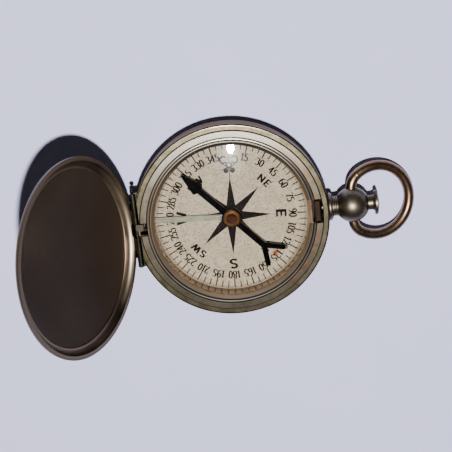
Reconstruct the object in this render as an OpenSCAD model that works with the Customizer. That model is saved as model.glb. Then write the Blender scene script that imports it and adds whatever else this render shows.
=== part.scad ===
// Hunter-case pocket compass: hinged lid at -X, pendant, push button and bow at +X.
// +Z is up out of the dial, +Y is the 12 o'clock side, the case stands on z = 0.

/* [Case] */
// Outer diameter of the case at its flange
case_d = 45; // [43:0.5:48]
// Height of the flange's top face above the table
flange_z = 10; // [9.8:0.1:10.2]
// Sheet thickness of the case back and band
wall = 0.8; // [0.7:0.05:0.9]
// Radius of the rounded edge under the case
back_round = 4.2; // [3.8:0.1:4.4]

/* [Dial] */
// Radius of the visible dial
dial_r = 17.5; // [17.2:0.1:17.5]
// Height of the dial's printed face
dial_z = 5.5; // [5.4:0.05:5.6]
// How far the dial and the lift lever sit turned clockwise in the case, in degrees
movement_turn = 3.6; // [0:0.1:4.5]

/* [Needle] */
// Distance from the pivot to the needle's north tip
needle_tip = 15.3; // [14:0.1:15.8]
// Width of the needle's shank
needle_w = 1.45; // [1.2:0.05:1.6]
// Where the needle's north tip points at rest, clockwise from +Y, in degrees
needle_heading = 317.5; // [0:0.5:359.5]

/* [Glass] */
// How far the watch glass domes above its edge
glass_rise = 1.1; // [0.8:0.1:1.6]

/* [Lid] */
// Radius of the lid at its rim
lid_r = 22.4; // [22.2:0.05:22.5]
// Height of the closed lid's dome above the table
lid_top_z = 16.3; // [16:0.1:16.8]
// How far the lid stands open at rest, in degrees
lid_open = 120; // [100:1:122]

/* [Pendant and bow] */
// Height of the pendant's axis above the table
pendant_z = 6.1; // [6:0.05:6.2]
// Diameter of the pendant's ball
ball_d = 8.1; // [7.8:0.1:8.3]
// Radius of the bow's round ring, to the middle of its wire
bow_r = 8.15; // [7.8:0.05:8.4]
// Diameter of the bow's wire
bow_wire_d = 2.4; // [2.2:0.1:2.5]
// How far the pendant sits turned clockwise from +X, in degrees
pendant_turn = 0.9; // [0:0.1:1.2]

/* [Hidden] */

$fn = 96;
far = 100;
cut = 0.01;

// Case heights
flange_r = case_d / 2;
band_r = flange_r - 0.3;
band_z = 5.0;
lip_z = flange_z - 1.1;
seat_r = flange_r - 1.4;
shelf_z = band_z - 0.1;
shelf_t = 0.5;
ring_top_z = flange_z + 0.5;

// Movement
cup_r = dial_r + 0.8;
cup_floor_z = 4.2;
dial_t = 0.6;
glass_z = flange_z - 0.75;
glass_t = 0.9;
glass_r = cup_r + 0.2;
glass_seat_r = glass_r + 0.05;
lever_z = 6.05;
lever_t = 0.3;
lever_pivot_r = 19.5;
needle_z = 7.25;
needle_t = 0.35;
post_r = 1.2;

// Hinge
chord_x = -21.1;
hinge_x = -21.9;
hinge_z = 9.3;
barrel_r = 0.7;
pin_r = 0.35;
lid_knuckle_out = 4.9;
lid_knuckle_in = 1.75;
case_knuckle_in = 5.0;
case_knuckle_out = 8.7;
notch_w = 3.1;
notch_y = 0.2;
notch_x = -19.3;

// Lid
rim_z = flange_z + 0.1;
lid_sheet = 0.45;
lid_edge_h = 1.0;
lid_cap = lid_top_z - rim_z - lid_edge_h;
lid_dome_r = (pow(lid_r, 2) + pow(lid_cap, 2)) / (2 * lid_cap);
lid_corner = 1.5;
ridge_r = 19.9;
// Height of the lid's inside face at a distance from its centre
function lid_inside_z(r) = lid_top_z - lid_dome_r + sqrt(pow(lid_dome_r - lid_sheet, 2) - pow(r, 2));

// Latch
slot_x0 = glass_r;
slot_w = 5.7;
strip_r0 = 19.2;
strip_r1 = 19.5;
leaf_az = [[291, 344], [84, 130]];
finger_y = [3.3, 4.4];
catch_r1 = 20.85;
lock_screw_az = 125;
lid_screw_az = 340;
screw_ring_r = 20.15;
foot_z = shelf_z + 0.02;
foot_t = 0.35;
button_x = 33.1;

// Pendant and bow
ball_r = ball_d / 2;
ball_x = 28;
stem_r = 1.65;
rod_r = 0.9;
shank_r = 1.9;
bow_reach = 6.26;
wire_r = bow_wire_d / 2;
bow_bend = 3.8;
bow_end_y = ball_r - 1.75;
button_flare = 0.65;
finger_root_x = -18.0;
finger_side_y = 7.5;
bow_lift = 0.3;
bow_drop = asin((pendant_z - wire_r - bow_lift) / (bow_reach + bow_r));

// Turns a child clockwise with the movement, seen from above
module in_movement() {
    rotate([0, 0, -movement_turn]) children();
}

// Turns a child clockwise with the pendant, seen from above
module in_pendant() {
    rotate([0, 0, -pendant_turn]) children();
}

// A plain ring about Z from z0 up to z1
module ring(r_out, r_in, z0, z1) {
    difference() {
        translate([0, 0, z0]) cylinder(r = r_out, h = z1 - z0);
        translate([0, 0, z0 - cut]) cylinder(r = r_in, h = z1 - z0 + 2 * cut);
    }
}

// A box given by its two corners
module block(low, high) {
    translate(low) cube(high - low);
}

// A wedge of space about Z between two headings, clockwise from +Y, less than 180 degrees apart
module sector(az0, az1, z0, z1) {
    corner = [for (az = [az0, (az0 + az1) / 2, az1]) [2 * flange_r * sin(az), 2 * flange_r * cos(az)]];
    translate([0, 0, z0])
        linear_extrude(z1 - z0)
            polygon([[0, 0], corner[0], corner[1], corner[2]]);
}

// Half profile of the lid: a wide dome run into the wall by a round corner
module dome_profile(r, corner, dome, top, bottom) {
    centre_z = top - dome;
    corner_z = centre_z + sqrt(pow(dome - corner, 2) - pow(r - corner, 2));
    touch_r = (r - corner) * dome / (dome - corner);
    intersection() {
        translate([0, centre_z]) circle(r = dome, $fn = 720);
        translate([0, bottom]) square([touch_r, far]);
    }
    intersection() {
        translate([r - corner, corner_z]) circle(r = corner);
        translate([0, bottom]) square([far, far]);
    }
    translate([0, bottom]) square([r, corner_z - bottom]);
}

// The closed lid turned back about its hinge to where it stands open
module opened() {
    translate([hinge_x, 0, hinge_z])
        rotate([0, -lid_open, 0])
            translate([-hinge_x, 0, -hinge_z])
                children();
}

// Everything outside the hinge's straight cut, to take away from a round part
module hinge_cut(z0, z1) {
    block([-far, -case_knuckle_out - 0.2, z0], [chord_x, case_knuckle_out + 0.2, z1]);
}

// The opening at -X that the lift lever's tab comes up through
module tab_notch(z0, z1) {
    block([-far, notch_y - notch_w / 2, z0], [notch_x, notch_y + notch_w / 2, z1]);
}

// A round screw with a slotted cheese head, standing on z
module small_screw(z, depth) {
    difference() {
        union() {
            translate([0, 0, z]) cylinder(r = 0.5, h = 0.5);
            translate([0, 0, z - depth]) cylinder(r = 0.3, h = depth);
        }
        translate([0, 0, z + 0.4]) cube([2, 0.2, 0.35], center = true);
    }
}

// A bent leaf standing on edge round the movement, with a flat foot drilled for its screw
module leaf(az0, az1, foot_az, z1) {
    intersection() {
        ring(strip_r1, strip_r0, band_z + 0.2, z1);
        sector(az0, az1, band_z + 0.1, z1 + 1);
    }
    difference() {
        rotate([0, 0, -foot_az]) union() {
            translate([0, screw_ring_r, foot_z]) cylinder(r = 0.54, h = foot_t);
            block([-0.54, strip_r0 + 0.1, foot_z], [0.54, screw_ring_r, foot_z + foot_t]);
        }
        rotate([0, 0, -foot_az]) translate([0, screw_ring_r, 0]) cylinder(r = 0.33, h = far);
    }
}

// Drawn sheet cup with a flat middle and a round edge, notched at the top for the pendant's shank
module case_back() {
    color([0.55, 0.52, 0.45])
        difference() {
            rotate_extrude() difference() {
                union() {
                    square([band_r - back_round, band_z]);
                    translate([0, back_round]) square([band_r, band_z - back_round]);
                    intersection() {
                        translate([band_r - back_round, back_round]) circle(r = back_round);
                        square([far, back_round]);
                    }
                }
                translate([-cut, wall]) square([band_r - back_round + cut, band_z]);
                translate([-cut, back_round]) square([band_r - wall + cut, band_z]);
                intersection() {
                    translate([band_r - back_round, back_round]) circle(r = back_round - wall);
                    square([far, back_round + cut]);
                }
            }
            shank_hole();
        }
}

// Hole at +X that the pendant's shank sits in
module shank_hole() {
    in_pendant() on_pendant(seat_r - 1) cylinder(r = shank_r + 0.05, h = 3);
}

// Middle of the case: wall, rolled flange, bezel seat, and the shelf that the springs are screwed to
module case_band() {
    color([0.6, 0.58, 0.5])
        difference() {
            union() {
                ring(band_r, band_r - wall, band_z, lip_z);
                rolled_flange();
                ring(seat_r, seat_r - 0.5, lip_z - 0.5, lip_z);
                ring(band_r - wall + cut, seat_r, lip_z - 0.5, lip_z);
                ring(band_r - wall - 0.05, cup_r + 0.1, shelf_z - shelf_t, shelf_z);
                ring(band_r - wall - 0.05, band_r - 1.5, shelf_z - cut, band_z + 0.3);
                ring(band_r - wall + cut, band_r - 1.5, band_z, band_z + 0.3);
            }
            hinge_cut(flange_z - 2.2, far);
            tab_notch(flange_z - 2.2, far);
            block([slot_x0, -slot_w / 2, lip_z - 0.6], [seat_r, slot_w / 2, flange_z - 0.9]);
            shank_hole();
            // window for the lid spring's finger
            block([-far, finger_y[0] - 0.3, flange_z - 2.4], [finger_root_x - 1.8, finger_y[1] + 0.3, flange_z - 1.15]);
            // screw holes in the shelf
            for (az = [lock_screw_az, lid_screw_az])
                rotate([0, 0, -az]) translate([0, screw_ring_r, 0]) cylinder(r = 0.32, h = band_z + 0.1);
        }
}

// The flange: a flat lip whose outer edges are rounded over
module rolled_flange() {
    edge = 0.4;
    rotate_extrude() union() {
        translate([seat_r, lip_z]) square([flange_r - edge - seat_r, flange_z - lip_z]);
        translate([seat_r, lip_z + edge]) square([flange_r - seat_r, flange_z - lip_z - 2 * edge]);
        translate([flange_r - edge, lip_z + edge]) circle(r = edge);
        translate([flange_r - edge, flange_z - edge]) circle(r = edge);
    }
}

// Silver ring over the glass, slotted for the catch at +X and the lever's tab at -X
module bezel() {
    inner = dial_r + 0.3;
    crest_r = inner + 0.7;
    crest_z = ring_top_z + 0.1;
    cove_r = 0.55;
    cove_at = [crest_r + 0.65, ring_top_z + 0.25];
    color([0.75, 0.73, 0.67])
        difference() {
            rotate_extrude() difference() {
                union() {
                    translate([inner, lip_z + cut])
                        square([seat_r - 0.05 - inner, ring_top_z - 0.15 - lip_z - cut]);
                    translate([inner, lip_z + 1]) square([seat_r - 0.2 - inner, ring_top_z - lip_z - 1]);
                    translate([inner, ring_top_z - 1]) square([cove_at[0] - inner, 1 + crest_z - ring_top_z]);
                    translate([seat_r - 0.2, ring_top_z - 0.15]) circle(r = 0.15, $fn = 48);
                }
                // bore that grips the cup, and the wider seat of the glass
                square([cup_r + 0.01, glass_z]);
                translate([0, glass_z - 0.01]) square([glass_seat_r, glass_t + 0.03]);
                // hollow cove between the flat land and the lip, whose inside slopes down to the glass
                translate(cove_at) circle(r = cove_r);
                polygon([[0, glass_z + glass_t + 0.15], [inner, glass_z + glass_t + 0.15], [crest_r, crest_z],
                    [crest_r, far], [0, far]]);
            }
            block([slot_x0, -slot_w / 2, 0], [far, slot_w / 2, glass_z + glass_t + 0.02]);
            block([inner - 1, -slot_w / 2, glass_z + glass_t + 0.02], [far, slot_w / 2, far]);
            tab_notch(0, far);
        }
}

// Watch glass of even thickness, domed inside a flat bevelled edge
module glass() {
    bevel = 0.15;
    lens_r = glass_r - 0.72;
    outer_r = (pow(lens_r, 2) + pow(glass_rise, 2)) / (2 * glass_rise);
    centre_z = glass_z + glass_t + glass_rise - outer_r;
    color([0.85, 0.9, 0.9, 0.35])
        rotate_extrude() difference() {
            union() {
                polygon([
                    [0, glass_z], [glass_r, glass_z], [glass_r, glass_z + glass_t - bevel],
                    [glass_r - bevel, glass_z + glass_t], [0, glass_z + glass_t]
                ]);
                intersection() {
                    translate([0, centre_z]) circle(r = outer_r, $fn = 720);
                    translate([0, glass_z + glass_t - cut]) square([lens_r, 2 * glass_rise]);
                }
            }
            translate([0, centre_z]) circle(r = outer_r - glass_t, $fn = 720);
        }
}

// Brass cup that holds the dial and carries the glass
module dial_cup() {
    color([0.42, 0.33, 0.2])
        difference() {
            union() {
                ring(cup_r, dial_r + 0.02, cup_floor_z, glass_z - 0.01);
                ring(dial_r + 0.1, 0.9, cup_floor_z, dial_z - dial_t);
            }
            // slot in the wall that the lift lever passes through
            in_movement() block([-far, -1.0, lever_z - 0.35], [-dial_r + 1, 1.0, lever_z + 0.75]);
        }
}

// Printed dial plate
module dial() {
    color([0.8, 0.77, 0.7])
        ring(dial_r, post_r + 0.02, dial_z - dial_t, dial_z);
}

// Brass post riveted through the dial and the cup's floor
module pivot_post() {
    color([0.7, 0.55, 0.25])
        difference() {
            rotate_extrude() polygon([
                [0, cup_floor_z - 0.4], [1.6, cup_floor_z - 0.4], [1.6, cup_floor_z - 0.02],
                [0.88, cup_floor_z - 0.02], [0.88, dial_z - dial_t + 0.01], [post_r, dial_z - dial_t + 0.01],
                [post_r, 6.4], [0.55, 6.7], [0.55, 6.85], [0, 6.85]
            ]);
            translate([0, 0, 6.2]) cylinder(r = 0.25, h = 1);
        }
}

// Hardened steel point that the needle turns on
module pivot_pin() {
    color([0.5, 0.52, 0.55])
        rotate_extrude() polygon([[0, 6.2], [0.25, 6.2], [0.25, 7.7], [0.03, 8.12], [0, 8.12]]);
}

// Turns a child so that its +Y lies along the needle's heading
module on_needle() {
    rotate([0, 0, -needle_heading]) children();
}

// Needle of blued steel: spade point at the north end, two-pronged fork at the south end
module needle() {
    head = 5.3;
    half_head = 1.62;
    neck = 0.3;
    root = 10.1;
    prong = 4.5;
    spread = 35;
    half = needle_w / 2;
    color([0.12, 0.13, 0.17])
        on_needle() translate([0, 0, needle_z]) difference() {
            union() {
                linear_extrude(needle_t) polygon([
                    [-half, -root], [half, -root], [half, needle_tip - head - neck],
                    [half_head, needle_tip - head + neck], [0.25, needle_tip - 0.1],
                    [0, needle_tip], [-0.25, needle_tip - 0.1],
                    [-half_head, needle_tip - head + neck], [-half, needle_tip - head - neck]
                ]);
                cylinder(r = 2.3, h = needle_t);
                for (side = [-1, 1])
                    translate([0, -root + 0.3, 0]) rotate([0, 0, 180 + side * spread])
                        fork_prong(prong);
            }
            translate([0, 0, -1]) cylinder(r = 1.02, h = 3);
        }
}

// One round-ended prong of the needle's fork
module fork_prong(length) {
    half = 0.62;
    translate([-half, -0.2, 0]) cube([2 * half, length + 0.2, needle_t]);
    translate([0, length, 0]) cylinder(r = half, h = needle_t);
}

// Turned brass cap that carries the jewel
module needle_cap() {
    base = needle_z + needle_t;
    color([0.72, 0.52, 0.25])
        difference() {
            union() {
                translate([0, 0, base]) cylinder(r = 2.1, h = 0.35);
                translate([0, 0, base + 0.3]) cylinder(r = 1.55, h = 0.4);
                translate([0, 0, base + 0.6]) cylinder(r = 1.1, h = 0.3);
                translate([0, 0, needle_z - 0.35]) cylinder(r = 1.0, h = 1);
            }
            translate([0, 0, 6]) cylinder(r = 0.7, h = 5);
        }
}

// Ruby cup jewel set in the cap
module cap_jewel() {
    base = needle_z + needle_t + 0.15;
    color([0.4, 0.05, 0.06])
        difference() {
            translate([0, 0, base]) cylinder(r = 0.69, h = 0.8);
            translate([0, 0, base - 0.1]) cylinder(r = 0.4, h = 0.6);
        }
}

// Needle-lift lever: ring round the post, flat strip, eye on its pin, arm and tab
module lift_lever() {
    half = 0.67;
    arm_x = -20.6;
    tab_y0 = -1.35;
    tab_y1 = 0.05;
    tab_top = flange_z + 0.02;
    color([0.68, 0.68, 0.6])
        in_movement() difference() {
            union() {
                translate([0, 0, lever_z]) cylinder(r = 2.25, h = lever_t);
                block([-lever_pivot_r, -half, lever_z], [-1.5, half, lever_z + lever_t]);
                translate([-lever_pivot_r, 1.0 + half - 0.95, lever_z + lever_t / 2])
                    rotate([90, 0, 0]) cylinder(r = 0.62, h = 1.0 + 2 * half - 0.2);
                block([arm_x, tab_y0, lever_z], [-lever_pivot_r, tab_y1, lever_z + lever_t]);
                block([arm_x, tab_y0, lever_z], [arm_x + lever_t, tab_y1, tab_top]);
                block([hinge_x - 0.1, tab_y0, tab_top - 0.25], [arm_x + lever_t, tab_y1, tab_top]);
            }
            translate([0, 0, 0]) cylinder(r = 1.5, h = far);
            translate([-lever_pivot_r, 5, lever_z + lever_t / 2])
                rotate([90, 0, 0]) cylinder(r = 0.34, h = 10);
        }
}

// Pin that the lift lever rocks on
module lever_pin() {
    color([0.5, 0.5, 0.5])
        in_movement() translate([-lever_pivot_r, 1.3, lever_z + lever_t / 2])
            rotate([90, 0, 0]) cylinder(r = 0.3, h = 3.2);
}

// Two-eared bracket soldered to the cup's outside
module lever_bracket() {
    ear_x = -lever_pivot_r - 0.6;
    color([0.6, 0.5, 0.3])
        in_movement() difference() {
            union() {
                for (y = [0.85, -1.8])
                    block([ear_x, y, lever_z - 0.7], [-cup_r + 0.3, y + 0.35, lever_z + 0.9]);
                block([-cup_r - 0.35, -1.8, lever_z - 0.7], [-cup_r + 0.3, 1.2, lever_z - 0.4]);
            }
            translate([-lever_pivot_r, 5, lever_z + lever_t / 2])
                rotate([90, 0, 0]) cylinder(r = 0.31, h = 10);
            cylinder(r = cup_r + 0.01, h = far);
        }
}

// Domed sheet lid
module lid_shell() {
    color([0.4, 0.35, 0.28])
        opened() difference() {
            rotate_extrude() difference() {
                dome_profile(lid_r, lid_corner, lid_dome_r, lid_top_z, rim_z);
                dome_profile(lid_r - lid_sheet, lid_corner - lid_sheet, lid_dome_r - lid_sheet,
                    lid_top_z - lid_sheet, rim_z - 1);
            }
            lid_hinge_cut();
        }
}

// Ring lined into the lid's edge: a flat land, a hollow cove, and a rolled bead inside it
module lid_rim() {
    outer = lid_r - lid_sheet - 0.01;
    round_r = lid_corner - lid_sheet - 0.01;
    corner_z = lid_top_z - lid_dome_r
        + sqrt(pow(lid_dome_r - lid_corner, 2) - pow(lid_r - lid_corner, 2));
    land_r = lid_r - 1.0;
    bead = 0.2;
    bead_z = lid_inside_z(ridge_r) - bead - 0.04;
    cove = [land_r - ridge_r - 0.25, bead_z - rim_z - 0.3];
    color([0.55, 0.48, 0.38])
        opened() difference() {
            rotate_extrude() polygon(concat(
                [[land_r, rim_z], [outer, rim_z]],
                [for (a = [0:10:60])
                    [outer - round_r + round_r * cos(a), corner_z + round_r * sin(a)]],
                [for (r = [ridge_r + 1.0, ridge_r + 0.55, ridge_r + 0.2]) [r, lid_inside_z(r) - 0.04]],
                [for (a = [90:30:270]) [ridge_r + bead * cos(a), bead_z + bead * sin(a)]],
                [for (a = [85:-8.5:0])
                    [land_r - cove[0] + cove[0] * cos(a), rim_z + 0.1 + cove[1] * sin(a)]]
            ));
            lid_hinge_cut();
        }
}

// The straight cut across the lid's edge that the hinge's leaf fills
module lid_hinge_cut() {
    block([-far, -case_knuckle_out - 0.2, 0], [chord_x - 0.25, case_knuckle_out + 0.2, rim_z + 0.35]);
}

// One stretch of the hinge's barrel, bored for the pin
module barrel(y0, y1, bore) {
    translate([hinge_x, y1, hinge_z]) rotate([90, 0, 0]) difference() {
        cylinder(r = barrel_r, h = y1 - y0);
        translate([0, 0, -1]) cylinder(r = bore, h = y1 - y0 + 2);
    }
}

// The lid's two middle knuckles and the leaf that joins them to its rim
module lid_knuckles() {
    color([0.5, 0.46, 0.38])
        opened() union() {
            for (y = [[lid_knuckle_in, lid_knuckle_out], [-lid_knuckle_out, -lid_knuckle_in]]) {
                barrel(y[0], y[1], pin_r + 0.04);
                difference() {
                    block([hinge_x - 0.45, y[0], hinge_z], [hinge_x + 0.45, y[1], rim_z + 0.3]);
                    translate([hinge_x, 0, hinge_z]) rotate([90, 0, 0])
                        cylinder(r = barrel_r - 0.05, h = far, center = true);
                }
            }
            difference() {
                block([hinge_x - 0.45, -6.6, rim_z], [chord_x - 0.28, 6.6, rim_z + 0.34]);
                translate([hinge_x, 0, hinge_z]) rotate([90, 0, 0])
                    cylinder(r = barrel_r + 0.08, h = far, center = true);
            }
        }
}

// The case's two outer knuckles, each with a web to the band
module case_knuckles() {
    color([0.5, 0.48, 0.42])
        for (y = [[case_knuckle_in, case_knuckle_out], [-case_knuckle_out, -case_knuckle_in]]) {
            barrel(y[0], y[1], pin_r + 0.005);
            difference() {
                block([hinge_x - 0.1, y[0], hinge_z - 0.68], [-19, y[1], hinge_z + 0.1]);
                translate([hinge_x, 0, hinge_z]) rotate([90, 0, 0])
                    cylinder(r = barrel_r - 0.05, h = far, center = true);
                intersection() {
                    cylinder(r = flange_r + 0.01, h = far);
                    block([chord_x - 0.01, -far, 0], [0, far, far]);
                }
            }
        }
}

// Hinge pin with a small domed head at +Y
module hinge_pin() {
    head = 0.55;
    color([0.3, 0.3, 0.3])
        translate([hinge_x, 0, hinge_z]) union() {
            translate([0, case_knuckle_out + 0.1, 0]) rotate([90, 0, 0])
                cylinder(r = pin_r, h = 2 * case_knuckle_out + 0.3);
            translate([0, case_knuckle_out + 0.05 + head, 0]) sphere(r = head, $fn = 48);
        }
}

// Spring that throws the lid open: a leaf on edge, with a finger under the lid's knuckle
module lid_spring() {
    tip_x = -21.2;
    color([0.25, 0.28, 0.38]) union() {
        leaf(leaf_az[0][0], leaf_az[0][1], lid_screw_az, flange_z - 2.0);
        difference() {
            block([tip_x, finger_y[0], flange_z - 2.3], [finger_root_x, finger_y[1], flange_z - 2.0]);
            cylinder(r = strip_r0, h = far);
        }
        intersection() {
            ring(strip_r1, strip_r0, flange_z - 2.3, flange_z - 2.0);
            block([-far, finger_y[0], 0], [0, finger_side_y, far]);
        }
        block([tip_x, finger_y[0], flange_z - 2.3], [tip_x + 0.3, finger_y[1], flange_z - 1.6]);
    }
}

module lid_spring_screw() {
    color([0.3, 0.32, 0.4])
        rotate([0, 0, -lid_screw_az]) translate([0, screw_ring_r, 0]) small_screw(foot_z + foot_t + 0.01, 0.85);
}

// Leaf spring that holds the catch outwards, screwed down at its far end
module lock_spring() {
    strip_y = [-2.35, 2.0];
    color([0.25, 0.28, 0.38]) union() {
        leaf(leaf_az[1][0], leaf_az[1][1], lock_screw_az, band_z + 3.5);
        intersection() {
            ring(strip_r1, strip_r0, band_z + 3, flange_z + 0.2);
            block([0, strip_y[0], 0], [far, strip_y[1], far]);
        }
    }
}

module lock_spring_screw() {
    color([0.3, 0.32, 0.4])
        rotate([0, 0, -lock_screw_az]) translate([0, screw_ring_r, 0]) small_screw(foot_z + foot_t + 0.01, 0.85);
}

// Brown catch riveted to the lock spring, with a rounded nose
module latch_catch() {
    half = 2.3;
    nose = 0.65;
    top = ring_top_z + 0.15;
    color([0.45, 0.3, 0.18])
        difference() {
            union() {
                block([strip_r1 - 0.2, -half, band_z + 0.6], [catch_r1 - nose, half, top]);
                block([strip_r1 - 0.2, -half, band_z + 0.6], [catch_r1, half, top - nose]);
                translate([catch_r1 - nose, half, top - nose]) rotate([90, 0, 0]) cylinder(r = nose, h = 2 * half);
            }
            cylinder(r = strip_r1 + 0.005, h = far);
        }
}

// Lies a child's Z along +X on the pendant's axis
module on_pendant(x) {
    translate([x, 0, pendant_z]) rotate([0, 90, 0]) children();
}

// Collar between the case and the ball, with a shank in the band's wall
module pendant_collar() {
    disc_x = 22.15;
    color([0.42, 0.36, 0.28])
        in_pendant() difference() {
            union() {
                on_pendant(0) rotate_extrude() union() {
                    translate([0, catch_r1 + 0.3]) square([shank_r, 2]);
                    translate([0, disc_x]) square([2.75, 1.3]);
                    translate([2.6, disc_x + 0.65]) circle(r = 0.62, $fn = 48);
                    translate([0, disc_x + 1.2]) square([2.1, 1.6]);
                    for (k = [0:2])
                        translate([2.05, disc_x + 1.5 + 0.42 * k]) circle(r = 0.26, $fn = 48);
                }
            }
            // seat against the band, under the flange
            difference() {
                cylinder(r = band_r + 0.01, h = far);
                on_pendant(0) cylinder(r = shank_r, h = far);
            }
            translate([0, 0, lip_z - 0.02]) cylinder(r = flange_r + 0.02, h = far);
            on_pendant(0) cylinder(r = rod_r + 0.1, h = far);
            translate([ball_x, 0, pendant_z]) sphere(r = ball_r + 0.01);
        }
}

// Hollow ball with a bore for the stem and two holes for the bow's ends
module pendant_ball() {
    color([0.4, 0.35, 0.28])
        in_pendant() difference() {
            translate([ball_x, 0, pendant_z]) sphere(r = ball_r);
            on_pendant(0) cylinder(r = rod_r + 0.1, h = far);
            on_pendant(ball_x - 2) cylinder(r = 2.0, h = 4.4);
            on_pendant(ball_x - 2) cylinder(r = stem_r + 0.06, h = far);
            for (side = [-1, 1])
                translate([ball_x, side * (bow_end_y - 0.05), pendant_z]) rotate([-90 * side, 0, 0])
                    cylinder(r = wire_r + 0.05, h = far);
        }
}

// Stepped stem that carries the button's push to the catch
module push_stem() {
    tip_x = catch_r1 + 0.1;
    shoulder_x = ball_x + 1.0;
    color([0.45, 0.42, 0.36])
        in_pendant() union() {
            on_pendant(tip_x) cylinder(r = rod_r, h = shoulder_x - tip_x + 0.1);
            on_pendant(shoulder_x) cylinder(r = 1.93, h = 0.9);
            on_pendant(shoulder_x + 0.8) cylinder(r = stem_r, h = button_x - button_flare - 0.01 - shoulder_x - 0.8);
        }
}

// Push button: a flare from the stem out to a thin round head, slightly domed outside
module push_button() {
    head_r = 2.8;
    color([0.48, 0.42, 0.34])
        in_pendant() on_pendant(button_x) intersection() {
            rotate_extrude() union() {
                polygon(concat([[0, 0.3], [0, -button_flare]],
                    [for (a = [0:10:90]) [head_r - 0.05 - (head_r - 0.05 - stem_r - 0.01) * cos(a),
                        (button_flare + 0.3) * sin(a) - button_flare]]));
                square([head_r - 0.3, 1.2]);
                translate([0, 0.25]) square([head_r, 0.35]);
                translate([head_r - 0.3, 0.3]) circle(r = 0.3, $fn = 48);
                translate([0, 0.45]) square([head_r - 0.02, 0.5]);
            }
            translate([0, 0, 1.15 - 8]) sphere(r = 8);
        }
}

// Coil round the rod that pushes the button out, one closed tube
module stem_spring() {
    turns = 4;
    coil_r = 1.5;
    wire = 0.2;
    length = 2.9;
    sides = 8;
    steps = turns * 14;
    point = [for (i = [0:steps]) let (a = 360 * turns * i / steps)
        for (k = [0:sides - 1]) let (b = 360 * k / sides)
            [(coil_r + wire * cos(b)) * cos(a), (coil_r + wire * cos(b)) * sin(a),
                wire * sin(b) + (length - 2 * wire) * i / steps + wire]];
    skin = [for (i = [0:steps - 1], k = [0:sides - 1]) let (n = (k + 1) % sides)
        [i * sides + k, (i + 1) * sides + k, (i + 1) * sides + n, i * sides + n]];
    first = [for (k = [0:sides - 1]) k];
    last = [for (k = [sides - 1:-1:0]) steps * sides + k];
    color([0.6, 0.6, 0.6])
        in_pendant() on_pendant(ball_x - 1.95) polyhedron(points = point, faces = concat(skin, [first, last]), convexity = 8);
}

// The bow's short return: a bend and a straight end that springs into the ball's side, with
// a bead a hair thicker than the wire wherever one stretch runs into the next
module bow_return(bend_y, meet) {
    gap = 2;
    bead_r = wire_r + 0.03;
    translate([bow_bend, bend_y, 0]) rotate([0, 0, meet + gap])
        rotate_extrude(angle = 180 - meet - 2 * gap) translate([bow_bend, 0]) circle(r = wire_r, $fn = 48);
    translate([bow_bend + bow_bend * cos(meet), bend_y + bow_bend * sin(meet), 0]) sphere(r = bead_r, $fn = 48);
    translate([0, bend_y, 0]) sphere(r = bead_r, $fn = 48);
    translate([0, bow_end_y, 0]) rotate([-90, 0, 0])
        cylinder(r = wire_r, h = bend_y - bow_end_y - 0.1, $fn = 48);
}

// Wire ring with a return at each end
module bow() {
    gap = 0.6;
    bend_y = sqrt(pow(bow_r - bow_bend, 2) - pow(bow_reach - bow_bend, 2));
    meet = atan2(bend_y, bow_bend - bow_reach);
    color([0.5, 0.38, 0.25])
        in_pendant() translate([ball_x, 0, pendant_z]) rotate([0, bow_drop, 0]) union() {
            translate([bow_reach, 0, 0]) rotate([0, 0, gap - meet])
                rotate_extrude(angle = 2 * (meet - gap)) translate([bow_r, 0]) circle(r = wire_r, $fn = 48);
            bow_return(bend_y, meet);
            mirror([0, 1, 0]) bow_return(bend_y, meet);
        }
}

case_back();
case_band();
bezel();
glass();
dial_cup();
dial();
pivot_post();
pivot_pin();
needle();
needle_cap();
cap_jewel();
lift_lever();
lever_pin();
lever_bracket();
lid_shell();
lid_rim();
lid_knuckles();
case_knuckles();
hinge_pin();
lid_spring();
lid_spring_screw();
lock_spring();
lock_spring_screw();
latch_catch();
pendant_collar();
pendant_ball();
push_stem();
push_button();
stem_spring();
bow();
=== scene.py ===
"""Looks of the hunter-case pocket compass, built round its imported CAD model."""

import math

import bmesh
import bpy
from mathutils import Matrix, Vector


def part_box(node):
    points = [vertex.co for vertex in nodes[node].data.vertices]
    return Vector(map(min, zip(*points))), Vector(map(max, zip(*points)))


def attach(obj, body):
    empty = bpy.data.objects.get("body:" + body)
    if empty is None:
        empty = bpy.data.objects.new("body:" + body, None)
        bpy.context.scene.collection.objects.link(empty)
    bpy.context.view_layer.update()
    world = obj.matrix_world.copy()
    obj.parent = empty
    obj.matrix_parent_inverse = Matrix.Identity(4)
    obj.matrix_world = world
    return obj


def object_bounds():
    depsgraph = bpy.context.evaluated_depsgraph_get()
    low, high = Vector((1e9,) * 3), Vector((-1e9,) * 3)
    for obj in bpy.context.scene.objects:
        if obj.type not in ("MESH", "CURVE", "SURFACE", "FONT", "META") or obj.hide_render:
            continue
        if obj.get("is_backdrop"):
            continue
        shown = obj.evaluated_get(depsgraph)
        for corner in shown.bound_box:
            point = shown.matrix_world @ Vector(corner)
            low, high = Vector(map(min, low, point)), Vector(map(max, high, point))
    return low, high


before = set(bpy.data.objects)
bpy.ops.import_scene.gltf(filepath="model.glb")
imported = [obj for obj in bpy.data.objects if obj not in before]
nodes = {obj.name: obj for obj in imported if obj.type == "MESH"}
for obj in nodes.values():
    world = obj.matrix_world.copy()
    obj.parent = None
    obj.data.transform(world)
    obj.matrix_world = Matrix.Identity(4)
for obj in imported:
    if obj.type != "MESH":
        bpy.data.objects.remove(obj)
cad_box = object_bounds()
MM = 0.001

# ---------------------------------------------------------------- where things are
DIAL_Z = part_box("dial")[1].z
hinge_low, hinge_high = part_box("case_knuckles")
HINGE_R = 0.7 * MM
HINGE_X = hinge_low.x + HINGE_R
HINGE_Z = hinge_high.z - HINGE_R
LID_OPEN = math.radians(120)
MOVEMENT_TURN = math.radians(3.6)

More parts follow.
